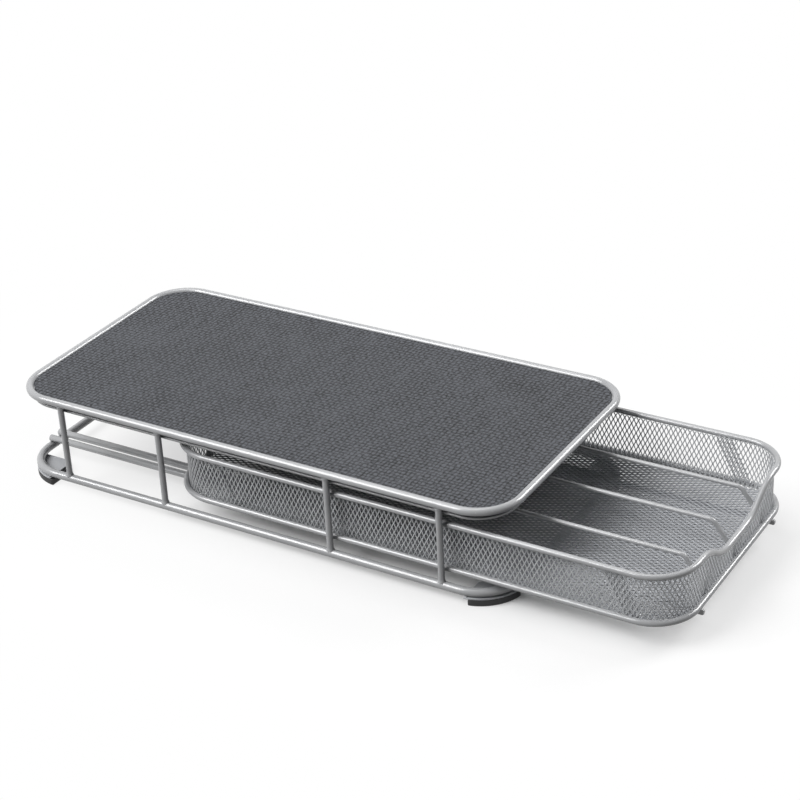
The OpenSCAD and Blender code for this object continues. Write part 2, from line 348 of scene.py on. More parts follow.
def bead_tree() -> Tree:
    """Builds the tree that puts a weld bead on each point of a mesh.

    Returns:
        A geometry tree. The point attribute "size" is a bead's radius, Lumps is the scale of its unevenness
        in cycles a metre, and Roughness is the depth of it.
    """
    sizes = {"Roughness": 0.0002, "Lumps": 380.0, "Seed": 3.0}
    tree = Tree.group(Group.GEOMETRY, "weld_beads", sizes, ["Geometry"])
    source = tree.inputs
    ball = tree.out("GeometryNodeMeshIcoSphere", {"Radius": 1.0, "Subdivisions": 3})
    feeds = {"Points": source["Geometry"], "Instance": ball, "Scale": tree.attribute("size")}
    balls = tree.out("GeometryNodeRealizeInstances", {0: tree.out("GeometryNodeInstanceOnPoints", feeds)})
    feeds = {"Scale": source["Lumps"], "Detail": 1.0, "W": source["Seed"]}
    swing = (tree.out("ShaderNodeTexNoise", feeds, noise_dimensions="4D") - 0.5) * source["Roughness"]
    push = tree.scaled(tree.out("GeometryNodeInputNormal"), swing)
    return tree.close(tree.out("GeometryNodeSetPosition", {"Geometry": balls, "Offset": push}))


# ---------------------------------------------------------------- finishes


def grain_group() -> Tree:
    """Builds the group that gives a fine grain and slow colour drift.

    Returns:
        A shader group with the inputs Vector, Grain Scale, Drift Scale, Peel (the scale of the paint's
        orange peel, in scales of the grain) and Fine (the weight of the grain in the relief), and the
        outputs Grain, Drift and Height.
    """
    sizes = {"Grain Scale": 2500.0, "Drift Scale": 30.0, "Peel": 0.3, "Fine": 0.35}
    tree = Tree.group(Group.SHADER, "paint_grain", sizes, ["Grain", "Drift", "Height"])
    source = tree.inputs
    fine = tree.noise(source["Vector"], source["Grain Scale"], detail=2.0)
    slow = tree.noise(source["Vector"], source["Drift Scale"], detail=3.0)
    peel = tree.noise(source["Vector"], source["Grain Scale"] * source["Peel"], detail=1.0)
    tree.add("NodeGroupOutput", {"Grain": fine, "Drift": slow, "Height": fine * source["Fine"] + peel})
    return tree


def rub_group() -> Tree:
    """Builds the group that marks scattered rubbed spots and thin scuffs.

    Returns:
        A shader group with the inputs Vector, Amount, Patch Scale, Speck Scale and Contrast, and the output
        Mask.
    """
    sizes = {"Amount": 0.3, "Patch Scale": 60.0, "Speck Scale": 700.0, "Contrast": 9.0}
    tree = Tree.group(Group.SHADER, "rubbed_spots", sizes, ["Mask"])
    source = tree.inputs
    highest, lowered, share = 0.78, 0.3, 0.62
    patch = tree.noise(source["Vector"], source["Patch Scale"], detail=5.0, roughness=0.65)
    speck = tree.noise(source["Vector"], source["Speck Scale"], detail=2.0)
    strong = (patch + speck) * share - (highest - source["Amount"] * lowered)
    feeds = {0: strong, 1: source["Contrast"]}
    mask = tree.out("ShaderNodeMath", feeds, operation="MULTIPLY", use_clamp=True)
    tree.add("NodeGroupOutput", {"Mask": mask})
    return tree


def weave_group() -> Tree:
    """Builds the group for the mat's plain weave.

    Warp threads run along X and weft threads along Y, each over and under the others in turn, and the weft
    stands a little lower.

    Returns:
        A shader group with the inputs Vector, Pitch (threads a metre along X), Weft (the same along Y, in
        pitches), Weft Height, Roundness (less is flatter) and Wobble (in metres), and the outputs Height and
        Thread.
    """
    sizes = {"Pitch": 320.0, "Weft": 0.948, "Weft Height": 0.55, "Roundness": 0.7, "Wobble": 0.0034}
    tree = Tree.group(Group.SHADER, "mat_weave", sizes, ["Height", "Thread"])
    source = tree.inputs
    wobble_scale, pebble_scale, streak_scale = 170.0, 520.0, (150.0, 40.0, 1.0)
    pebble_middle, pebble_gain, pebble_weight, thread_weight = 0.35, 1.6, 0.9, 1.1
    wobble = tree.noise(source["Vector"], wobble_scale, detail=3.0, pick="Color")
    shift = tree.scaled(tree.vector("SUBTRACT", wobble, (0.5, 0.5, 0.5)), source["Wobble"])
    place = tree.scaled(tree.vector("ADD", source["Vector"], shift), source["Pitch"])
    part = tree.outs("ShaderNodeSeparateXYZ", {0: place})
    along = tree.math("SINE", part["X"] * math.pi)
    across = tree.math("SINE", part["Y"] * source["Weft"] * math.pi)
    warp = along * across
    weft = warp * source["Weft Height"] * -1.0
    threads = tree.math("POWER", tree.math("MAXIMUM", warp, weft), source["Roundness"])
    pebble = tree.noise(source["Vector"], pebble_scale, detail=2.0)
    height = threads * thread_weight + (pebble - pebble_middle) * pebble_gain * pebble_weight
    stretched = tree.vector("MULTIPLY", source["Vector"], streak_scale)
    streak = tree.noise(stretched, scale=1.0, detail=3.0)
    tree.add("NodeGroupOutput", {"Height": height, "Thread": streak})
    return tree


@dataclass(frozen=True)
class Weave:
    """How a plain weave shows in a finish.

    Attributes:
        pitch: Threads a metre.
        grain: Weight of the fine grain in its relief.
        slow: Weight of the slow tones in its colour.
        raised: Weight of the weave's relief in its colour: where the threads lie low the colour is darker,
            partly the threads' own tone and partly painted shade in the hollows between them.
    """

    pitch: float
    grain: float = 0.2
    slow: float = 0.20
    raised: float = 0.48


@dataclass(frozen=True)
class Finish:
    """A finish with grain: two colours that drift into each other, and its gloss.

    Attributes:
        name: Name of the material.
        light: Colour of the lighter areas, linear.
        dark: Colour of the darker areas, linear.
        metallic: Metallic weight.
        rough: Lowest and highest roughness.
        grain: Scale of the grain, in cycles a metre.
        relief: Depth of the grain, in metres.
        rubbed: How much of the surface is rubbed.
        weave: Its weave, if it has one.
        specular: Specular level.
        drift: Scale of the slow drift of the colour, in cycles a metre.
        shares: Weights of the drift and of the grain in the mix of the two colours.
        shades: Where in the mix the dark colour ends and the light one is reached.
        gloss: Where in the mix the lowest and the highest roughness are reached.
        worn: Factor and lift of the light colour where it is rubbed.
        rub_weights: Weight of the rubbed spots in the colour and in the gloss.
        bump: Strength of the relief.
    """

    name: str
    light: Colour
    dark: Colour
    metallic: float
    rough: tuple[float, float]
    grain: float
    relief: float
    rubbed: float
    weave: Optional[Weave] = None
    specular: float = 0.5
    drift: float = 24.0
    shares: tuple[float, float] = (0.7, 0.3)
    shades: tuple[float, float] = (0.3, 0.7)
    gloss: tuple[float, float] = (0.3, 0.85)
    worn: tuple[float, float] = (1.12, 0.01)
    rub_weights: tuple[float, float] = (0.5, 0.25)
    bump: float = 0.6

    def make(self, groups: dict[str, Tree]) -> bpy.types.Material:
        """Builds the material.

        Args:
            groups: The shared shader groups by name.

        Returns:
            The material.
        """
        material = bpy.data.materials.new(self.name)
        tree = Tree.of(material)
        place = tree.out("ShaderNodeTexCoord", pick="Object")
        feeds = {"Vector": place, "Grain Scale": self.grain, "Drift Scale": self.drift}
        grain = tree.use(groups["grain"], feeds)
        rub = tree.use(groups["rub"], {"Vector": place, "Amount": self.rubbed})["Mask"]
        drift_share, grain_share = self.shares
        mix = grain["Drift"] * drift_share + grain["Grain"] * grain_share
        height = grain["Height"]
        if self.weave:
            weave = tree.use(groups["weave"], {"Vector": place, "Pitch": self.weave.pitch})
            height = height * self.weave.grain + weave["Height"]
            # Painted shade, in part: the colour darkens where the weave's relief is low, in the hollows
            # between threads.
            mix = (mix + weave["Thread"]) * self.weave.slow + weave["Height"] * self.weave.raised
        gain, lift = self.worn
        bare = (*(min(1.0, part * gain + lift) for part in self.light), 1.0)
        in_colour, in_gloss = self.rub_weights
        colour = tree.blend(tree.ramp(mix, *self.shades), (*self.dark, 1.0), (*self.light, 1.0))
        feeds = {"Height": height, "Strength": self.bump, "Distance": self.relief}
        shader = tree.out("ShaderNodeBsdfPrincipled", {
            "Base Color": tree.blend(rub * in_colour, colour, bare),
            "Metallic": self.metallic,
            "Roughness": tree.ramp(mix + rub * in_gloss, *self.gloss, *self.rough),
            "Specular IOR Level": self.specular,
            "Normal": tree.out("ShaderNodeBump", feeds)})
        tree.add("ShaderNodeOutputMaterial", {"Surface": shader})
        return material


SILVER_WIRE = Finish(
    "silver_wire", (0.43, 0.435, 0.445), (0.34, 0.345, 0.355), metallic=0.02, rough=(0.20, 0.28),
    grain=2600.0, relief=0.00004, rubbed=0.05, specular=0.9)
# Painted light: the walls' mesh has the wires' silver paint, made lighter to stand in for light on its
# strands.
WALL_MESH_PAINTED_LIGHT = Finish(
    "wall_mesh_painted_light", (0.66, 0.67, 0.685), (0.55, 0.56, 0.575), metallic=0.14, rough=(0.26, 0.38),
    grain=3200.0, relief=0.00004, rubbed=0.10)
# Painted shade: the floor's mesh has the same silver paint, made darker to stand in for the shade that falls
# on it.
FLOOR_MESH_PAINTED_SHADE = Finish(
    "floor_mesh_painted_shade", (0.37, 0.38, 0.40), (0.28, 0.29, 0.31), metallic=0.04, rough=(0.30, 0.42),
    grain=3200.0, relief=0.00004, rubbed=0.10)
STEEL_SHEET = Finish(
    "silver_sheet", (0.51, 0.52, 0.54), (0.42, 0.43, 0.45), metallic=0.10, rough=(0.32, 0.46),
    grain=2200.0, relief=0.00004, rubbed=0.15)
# Painted shade: the tray is near-black so the space under the top reads dark; the colour stands in for shade
# there.
TRAY_PAINTED_SHADE = Finish(
    "black_sheet", (0.020, 0.021, 0.023), (0.012, 0.012, 0.014), metallic=0.0, rough=(0.4, 0.6),
    grain=2200.0, relief=0.00004, rubbed=0.10)
WELD_METAL = Finish(
    "silver_weld", (0.41, 0.415, 0.425), (0.32, 0.325, 0.335), metallic=0.04, rough=(0.24, 0.38),
    grain=1800.0, relief=0.00006, rubbed=0.15)
# The mat's near-black dark colour is reached in the low places of the weave, partly as painted shade in its
# hollows.
MAT_WEAVE = Finish(
    "mat_weave", (0.104, 0.109, 0.121), (0.002, 0.002, 0.003), metallic=0.0, rough=(0.50, 0.75),
    grain=1600.0, relief=0.00050, rubbed=0.05, weave=Weave(pitch=319.5), specular=0.25)
FOOT_RUBBER = Finish(
    "foot_rubber", (0.020, 0.020, 0.021), (0.009, 0.009, 0.010), metallic=0.0, rough=(0.45, 0.70),
    grain=1500.0, relief=0.00008, rubbed=0.10)
FINISHES = (SILVER_WIRE, WALL_MESH_PAINTED_LIGHT, FLOOR_MESH_PAINTED_SHADE, STEEL_SHEET, TRAY_PAINTED_SHADE, WELD_METAL, MAT_WEAVE,
            FOOT_RUBBER)


# ---------------------------------------------------------------- shapes


@dataclass(frozen=True)
class Piece:
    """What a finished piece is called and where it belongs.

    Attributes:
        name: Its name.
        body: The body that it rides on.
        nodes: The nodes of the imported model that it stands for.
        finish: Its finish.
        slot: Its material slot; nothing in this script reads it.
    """

    name: str
    body: Body
    nodes: tuple[str, ...] = ()
    finish: Finish = SILVER_WIRE
    slot: Slot = Slot.WIRE


@dataclass(frozen=True)
class Expanded:
    """A grade of expanded metal, in millimetres.

    Attributes:
        strand: Radius of a strand.
        sides: Number of sides of a strand's section.
        cell: Width and height of a diamond.
        bond: Length of the bond between two strands.
    """

    strand: float
    sides: int
    cell: tuple[float, float] = (3.5, 6.8)
    bond: float = 0.9


@dataclass
class Line:
    """A centre line of wire.

    Attributes:
        points: Its points, in metres.
        closed: True for a ring.
        swell: Scale of the section at each point, or None for an even wire.
    """

    points: list[Vector]
    closed: bool = False
    swell: Optional[list[float]] = None


Limits = tuple[list[float], list[float]]
Spot = tuple[tuple[float, float, float], float]


def bent(corners: Sequence[Sequence[Number]], radii: Sequence[Number], closed: bool = False,
         step: float = 3.0) -> Line:
    """Rounds the corners of a run of points.

    Args:
        corners: Corner points, in millimetres.
        radii: Bend radius at each corner, in millimetres; 0 for a plain point or an end.
        closed: True for a ring.
        step: Degrees between points on a bend.

    Returns:
        The centre line, in metres.
    """
    points: list[Vector] = []
    count = len(corners)
    for i, (corner, radius) in enumerate(zip(corners, radii)):
        here = Vector(corner)
        if radius <= 0 or (not closed and i in (0, count - 1)):
            points.append(here * MM)
            continue
        to_last = (Vector(corners[i - 1]) - here).normalized()
        to_next = (Vector(corners[(i + 1) % count]) - here).normalized()
        inner = to_last.angle(to_next)
        turn = math.pi - inner
        start = here + to_last * (radius * math.tan(turn / 2))
        centre = here + (to_last + to_next).normalized() * (radius / math.sin(inner / 2))
        axis = to_last.cross(to_next).normalized()
        steps = max(2, round(math.degrees(turn) / step))
        for k in range(steps + 1):
            points.append((centre + Matrix.Rotation(-turn * k / steps, 3, axis) @ (start - centre)) * MM)
    even = [p for k, p in enumerate(points) if k == 0 or (p - points[k - 1]).length > SAME_PLACE]
    if closed and (even[0] - even[-1]).length < SAME_PLACE:
        even.pop()
    return Line(even, closed)


def bar(start: Sequence[Number], end: Sequence[Number], radius: float, cut: float = 0.4) -> Line:
    """Makes a straight bar whose cut ends have a small chamfer.

    Args:
        start: First end, in millimetres.
        end: Other end, in millimetres.
        radius: Radius of the bar, in millimetres.
        cut: Size of the chamfer, in millimetres.

    Returns:
        The centre line.
    """
    a, b = Vector(start), Vector(end)
    way = (b - a).normalized()
    ring = 1 - cut / radius
    return Line([a * MM, (a + way * cut) * MM, (b - way * cut) * MM, b * MM], swell=[ring, 1.0, 1.0, ring])


def plan_ring(back: float, front: float, half: float, back_r: float, front_r: float, z: float) -> Line:
    """Makes a rounded rectangle, anticlockwise from its near back corner.

    Args:
        back: X of its back.
        front: X of its front.
        half: Half its width.
        back_r: Radius of its back corners.
        front_r: Radius of its front corners.
        z: Its height. All sizes are in millimetres.

    Returns:
        The line.
    """
    corners = [(back, -half, z), (front, -half, z), (front, half, z), (back, half, z)]
    return bent(corners, [back_r, front_r, front_r, back_r], closed=True)


def linked(name: str, data: bpy.types.ID) -> bpy.types.Object:
    """Makes an object and links it to the scene.

    Args:
        name: Its name.
        data: Its mesh, camera or light.

    Returns:
        The object.
    """
    made = bpy.data.objects.new(name, data)
    bpy.context.scene.collection.objects.link(made)
    return made


class Workshop:
    """Makes pieces: it holds the node trees and materials, and dresses, names and reports each piece."""

    def __init__(self) -> None:
        """Builds the trees and the materials."""
        self.sweep = sweep_tree()
        self.expanded = expanded_mesh_tree()
        self.beads = bead_tree()
        groups = {"grain": grain_group(), "rub": rub_group(), "weave": weave_group()}
        self.materials = {finish: finish.make(groups) for finish in FINISHES}
        self.made = 0

    def grow(self, piece: Piece, lines: Iterable[Line], tree: Tree, values: dict[str, object],
             extra: Optional[dict[str, list[float]]] = None) -> None:
        """Makes a piece by running a geometry tree on centre lines.

        Args:
            piece: The piece.
            lines: The lines.
            tree: The tree.
            values: Input name of the tree to value.
            extra: More point attributes by name.
        """
        points: list[Vector] = []
        edges: list[tuple[int, int]] = []
        swell: list[float] = []
        for line in lines:
            first, count = len(points), len(line.points)
            points += line.points
            swell += line.swell or [1.0] * count
            edges += [(first + k, first + k + 1) for k in range(count - 1)]
            if line.closed:
                edges.append((first + count - 1, first))
        guide = bpy.data.meshes.new(f"{piece.name}_guide")
        guide.from_pydata(points, edges, [])
        attributes = {"swell": swell, **(extra or {})}
        for key, numbers in attributes.items():
            guide.attributes.new(key, "FLOAT", "POINT").data.foreach_set("value", numbers)
        source = linked(guide.name, guide)
        modifier = source.modifiers.new("grow", "NODES")
        modifier.node_group = tree.data
        sockets = {s.name: s.identifier for s in tree.data.interface.items_tree if s.in_out == "INPUT"}
        for key, value in {"Material": self.materials[piece.finish], **values}.items():
            modifier[sockets[key]] = value
        graph = bpy.context.evaluated_depsgraph_get()
        mesh = bpy.data.meshes.new_from_object(source.evaluated_get(graph), depsgraph=graph)
        bpy.data.objects.remove(source)
        for key in attributes:
            if key in mesh.attributes:
                mesh.attributes.remove(mesh.attributes[key])
        self.put(piece, mesh)

    def wire(self, piece: Piece, line: Line, radius: float, sides: int = 20) -> None:
        """Makes one piece of round wire.

        Args:
            piece: The piece.
            line: Its centre line.
            radius: Radius of the wire, in millimetres.
            sides: Number of sides of the section.
        """
        self.grow(piece, [line], self.sweep, {"Radius": radius * MM, "Sides": sides})

    def panel(self, piece: Piece, guide: Line, limits: Limits, metal: Expanded,
              up: tuple[float, float, float] = (0.0, 0.0, 1.0),
              slants: tuple[float, float] = (0.0, 0.0)) -> None:
        """Makes one piece of expanded metal along a guide line.

        Args:
            piece: The piece.
            guide: The line that it follows.
            limits: Lowest and highest end of the strands at each point of the line, in metres along up.
            metal: The grade of expanded metal.
            up: The way the strands run.
            slants: Slant of the start and of the end, in millimetres over the whole height.
        """
        low, high = limits
        width, height = metal.cell
        start, end = slants
        values = {"Cell Width": width * MM, "Cell Height": height * MM, "Bond": metal.bond * MM,
                  "Radius": metal.strand * MM, "Sides": metal.sides, "Up": up, "From": min(low),
                  "Reach": max(high) - min(low), "Start Slant": start * MM, "End Slant": end * MM}
        self.grow(piece, [guide], self.expanded, values, {"low": low, "high": high})

    def welds(self, name: str, body: Body, spots: Sequence[Spot]) -> None:
        """Makes the weld beads of a body.

        Args:
            name: Name of the piece.
            body: The body that they ride on.
            spots: Place and radius of each bead, in millimetres.
        """
        lines = [Line([Vector(place) * MM]) for place, _ in spots]
        sizes = {"size": [size * MM for _, size in spots]}
        self.grow(Piece(name, body, finish=WELD_METAL), lines, self.beads, {}, sizes)

    def shell(self, piece: Piece, bm: bmesh.types.BMesh) -> None:
        """Makes a piece from faces: turns them outwards and smooths all but the large flat ones.

        Args:
            piece: The piece.
            bm: Its faces, in metres.
        """
        most_corners = 8
        bmesh.ops.recalc_face_normals(bm, faces=bm.faces)
        for face in bm.faces:
            face.smooth = len(face.verts) < most_corners
        mesh = bpy.data.meshes.new(piece.name)
        bm.to_mesh(mesh)
        bm.free()
        self.put(piece, mesh)

    def slab(self, piece: Piece, outline: list[Vector], low: float, high: float, edge: float) -> None:
        """Makes a flat piece from an outline, with rounded edges.

        Args:
            piece: The piece.
            outline: Its outline, in metres, anticlockwise, at any height.
            low: Height of its underside, in millimetres.
            high: Height of its top, in millimetres.
            edge: Size of the rounding, in millimetres.
        """
        bm = bmesh.new()
        base = bm.faces.new([bm.verts.new((p.x, p.y, low * MM)) for p in outline])
        top = bmesh.ops.extrude_face_region(bm, geom=[base])["geom"]
        raised = [v for v in top if isinstance(v, bmesh.types.BMVert)]
        bmesh.ops.translate(bm, verts=raised, vec=(0, 0, (high - low) * MM))
        rims = [e for e in bm.edges if abs(e.verts[0].co.z - e.verts[1].co.z) < SAME_PLACE]
        bmesh.ops.bevel(bm, geom=rims, offset=edge * MM, segments=3, profile=0.5, affect="EDGES")
        self.shell(piece, bm)

    def put(self, piece: Piece, mesh: bpy.types.Mesh) -> None:
        """Makes the finished object of a piece: names it, dresses it and ties it to its body.

        Args:
            piece: The piece.
            mesh: Its mesh, in place.
        """
        mesh.name = piece.name
        if not mesh.materials:
            mesh.materials.append(self.materials[piece.finish])
        made = linked(piece.name, mesh)
        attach(made, piece.body.value)
        if piece.nodes:
            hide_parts(*piece.nodes)
        self.made += 1
        LOG.info("%s: %d faces on %s", piece.name, len(mesh.polygons), piece.body.value)


# ---------------------------------------------------------------- the stand
# In the sizes of the stand and the basket, _d is a diameter, _r a radius, _t a thickness, _edge a rounding,
# and _x, _y and _z are places, all in millimetres.


@dataclass
class Stand:
    """The fixed stand: rim, mat, tray, posts, base loop, rails, corner plates and feet.

    Attributes:
        shop: Makes the pieces.
        middle: X of the stand's middle.
        mat_edge: Rounding of the mat's edge.
        inset: From the rim's centre line to the edge of the mat and tray.
        outer_bend: Steps inwards and down on the outside of the tray's bend.
        inner_bend: Steps inwards and down on the inside of it.
        post_sink: How far a post runs into the wires that it is welded to.
        post_flare: Distance from a post's end, and scale of its section there.
        plate_reach: A plate's length along X and along Y from the loop's centre line, and its cut corner.
        back_foot: The same for a back foot.
        front_foot: The same for a front foot.
        pad_steps: Steps of the round corner of plates and feet.
        rail_bead: A weld bead at a rail's end: its shift sideways, its drop and its radius.
        plate_bead: A weld bead at a plate: shifts in along X and along Y, shift outwards, height, radius.
    """

    shop: Workshop
    middle: float = -60.25
    half_l: float = 197.2
    half_w: float = 97.2
    corner_r: float = 30.0
    rim_d: float = 5.6
    loop_d: float = 6.0
    post_d: float = 4.5
    rail_d: float = 5.0
    support_d: float = 2.0
    rim_z: float = 69.8
    loop_z: float = 9.0
    rail_z: float = 14.5
    support_z: float = 62.9
    mat_z: float = 69.3
    mat_top: float = 70.9
    mat_edge: float = 0.5
    tray_t: float = 0.8
    inset: float = 3.0
    outer_bend: tuple[tuple[float, float], ...] = ((0.0, 0.6), (0.2, 0.2), (0.7, 0.0))
    inner_bend: tuple[tuple[float, float], ...] = ((0.4, 0.0), (0.0, 0.5))
    post_x: tuple[float, ...] = (-154.0, -68.5, 68.5, 154.0)
    post_sink: float = 0.8
    post_flare: tuple[tuple[float, float], ...] = (
        (0.0, 1.30), (0.8, 1.22), (1.4, 1.1), (2.2, 1.03), (3.2, 1.0))
    rail_y: tuple[float, ...] = (-64.0, -54.1, 54.1, 64.0)
    rail_over: float = 1.2
    plate_low: float = 4.8
    plate_edge: float = 0.25
    plate_reach: tuple[float, float, float] = (25.7, 24.0, 6.6)
    foot_edge: float = 0.7
    back_foot: tuple[float, float, float] = (28.0, 23.0, 8.0)
    front_foot: tuple[float, float, float] = (23.0, 23.0, 8.0)
    pad_steps: int = 16
    rail_bead: tuple[float, float, float] = (1.7, 2.4, 0.9)
    plate_bead: tuple[float, float, float, float, float] = (24.6, 23.0, 1.2, 6.1, 1.0)

    def build(self) -> None:
        """Builds every piece of the stand."""
        support_in = (self.post_d + self.support_d) / 2
        for name, node, inset, z, diameter, sides in (
                ("rim_wire", "top_rim", 0, self.rim_z, self.rim_d, 28),
                ("loop_wire", "base_loop", 0, self.loop_z, self.loop_d, 28),
                ("underside_wire", "support_wire", support_in, self.support_z, self.support_d, 14)):
            self.shop.wire(Piece(name, Body.STAND, (node,)), self.ring(inset, z), diameter / 2, sides)
        self.tray()
        mat = Piece("mat_sheet", Body.STAND, ("top_mat",), MAT_WEAVE, Slot.MAT)
        self.shop.slab(mat, self.ring(self.inset, 0).points, self.mat_z, self.mat_top, self.mat_edge)
        self.posts()
        reach = self.half_l + self.rail_over
        for name, y in zip(("near_outer", "near_inner", "far_inner", "far_outer"), self.rail_y):
            ends = [(self.middle + way * reach, y, self.rail_z) for way in (-1, 1)]
            self.shop.wire(Piece(f"rail_wire_{name}", Body.STAND, (f"rail_{name}",)),
                           bar(*ends, self.rail_d / 2), self.rail_d / 2)
        for end, ex in (("back", -1), ("front", 1)):
            for edge, ey in (("near", -1), ("far", 1)):
                self.corner(f"{end}_{edge}", ex, ey)
        self.beads()

    def ring(self, inset: float, z: float) -> Line:
        """Draws the stand's outline.

        Args:
            inset: How far inside the centre line of the stand's wires it lies.
            z: Its height.

        Returns:
            The outline.
        """
        r = self.corner_r - inset
        return plan_ring(self.middle - self.half_l + inset, self.middle + self.half_l - inset,
                         self.half_w - inset, r, r, z)

    def tray(self) -> None:
        """Builds the thin steel tray with its turned down skirt, coloured near-black as painted shade under
        the top.
        """
        low, high = self.support_z + self.support_d / 2, self.mat_z
        inside = self.inset + self.tray_t
        section = [(self.inset, low)]
        section += [(self.inset + shift, high - drop) for shift, drop in self.outer_bend]
        section += [(inside + shift, high - self.tray_t - drop) for shift, drop in self.inner_bend]
        section.append((inside, low))
        bm = bmesh.new()
        loops = [[bm.verts.new(p) for p in self.ring(inset, z).points] for inset, z in section]
        crown = len(self.outer_bend)  # the last loop of the outside, where the top is closed
        pairs = [pair for k, pair in enumerate(zip(loops, loops[1:])) if k != crown]
        for a, b in pairs + [(loops[-1], loops[0])]:
            for k, corner in enumerate(a):
                after = (k + 1) % len(a)
                bm.faces.new((corner, a[after], b[after], b[k]))
        bm.faces.new(loops[crown])
        bm.faces.new(loops[crown + 1][::-1])
        self.shop.shell(Piece("tray_sheet", Body.STAND, ("top_tray",), TRAY_PAINTED_SHADE, Slot.BLACK), bm)

    def posts(self) -> None:
        """Builds the eight posts, which flare a little into the wires that they are welded to."""
        low = self.loop_z + self.loop_d / 2 - self.post_sink
        high = self.rim_z - self.rim_d / 2 + self.post_sink
        heights = [(low + d, s) for d, s in self.post_flare]
        heights += [(high - d, s) for d, s in reversed(self.post_flare)]
        for side, y in (("near", -self.half_w), ("far", self.half_w)):
            for number, x in enumerate(self.post_x, 1):
                points = [Vector((self.middle + x, y, z)) * MM for z, _ in heights]
                line = Line(points, swell=[s for _, s in heights])
                post = Piece(f"post_wire_{side}_{number}", Body.STAND, (f"post_{side}_{number}",))
                self.shop.wire(post, line, self.post_d / 2)

    def corner(self, name: str, ex: int, ey: int) -> None:
        """Builds the plate and the foot of one corner.

        Args:
            name: Name of the corner.
            ex: -1 at the back, 1 at the front.
            ey: -1 on the near side, 1 on the far side.
        """
        plate = Piece(f"plate_sheet_{name}", Body.STAND, (f"plate_{name}",), STEEL_SHEET, Slot.SHEET)
        self.shop.slab(plate, self.pad(ex, ey, self.plate_reach), self.plate_low,
                       self.loop_z - self.loop_d / 2, self.plate_edge)
        foot = Piece(f"foot_pad_{name}", Body.STAND, (f"foot_{name}",), FOOT_RUBBER, Slot.FOOT)
        reach = self.front_foot if ex > 0 else self.back_foot
        self.shop.slab(foot, self.pad(ex, ey, reach), 0.0, self.plate_low, self.foot_edge)

    def pad(self, ex: int, ey: int, reach: tuple[float, float, float]) -> list[Vector]:
        """Draws a pad that follows the loop's outer edge at a corner, with its inner corner cut off.

        Args:
            ex: -1 at the back, 1 at the front.
            ey: -1 on the near side, 1 on the far side.
            reach: Its length along X and along Y, and the size of the cut.

        Returns:
            Its outline, in metres, anticlockwise.
        """
        x, y, cut = reach
        r = self.corner_r + self.loop_d / 2

        def arc_end(length: float) -> float:
            """Finds how far round the corner an edge of the pad lies.

            Args:
                length: The pad's length along X or along Y.

            Returns:
                The angle in degrees, which is 90 where the pad is longer than the bend.
            """
            if length >= self.corner_r:
                return 90.0
            return math.degrees(math.acos(min(1.0, (self.corner_r - length) / r)))

        low, high = arc_end(y), 90 - arc_end(x)
        points = []
        for k in range(self.pad_steps + 1):
            angle = math.radians(high + (low - high) * k / self.pad_steps)
            points.append((self.corner_r - r * math.sin(angle), self.corner_r - r * math.cos(angle)))
        points += [(x - cut, y), (x, y - cut)]
        placed = [Vector((self.middle + ex * (self.half_l - px), ey * (self.half_w - py), 0)) * MM
                  for px, py in points]
        return placed if ex * ey > 0 else placed[::-1]

    def beads(self) -> None:
        """Builds the weld beads where rails and plates meet the loop."""
        spots: list[Spot] = []
        beside, drop, radius = self.rail_bead
        for y in self.rail_y:
            for ex in (-1, 1):
                for shift in (-beside, beside):
                    spots.append(((self.middle + ex * self.half_l, y + shift, self.rail_z - drop), radius))
        in_x, in_y, outwards, z, radius = self.plate_bead
        for ex in (-1, 1):
            for ey in (-1, 1):
                for x, y in ((self.half_l - in_x, self.half_w + outwards),
                             (self.half_l + outwards, self.half_w - in_y)):
                    spots.append(((self.middle + ex * x, ey * y, z), radius))
        self.shop.welds("stand_weld_beads", Body.STAND, spots)


# ---------------------------------------------------------------- the basket


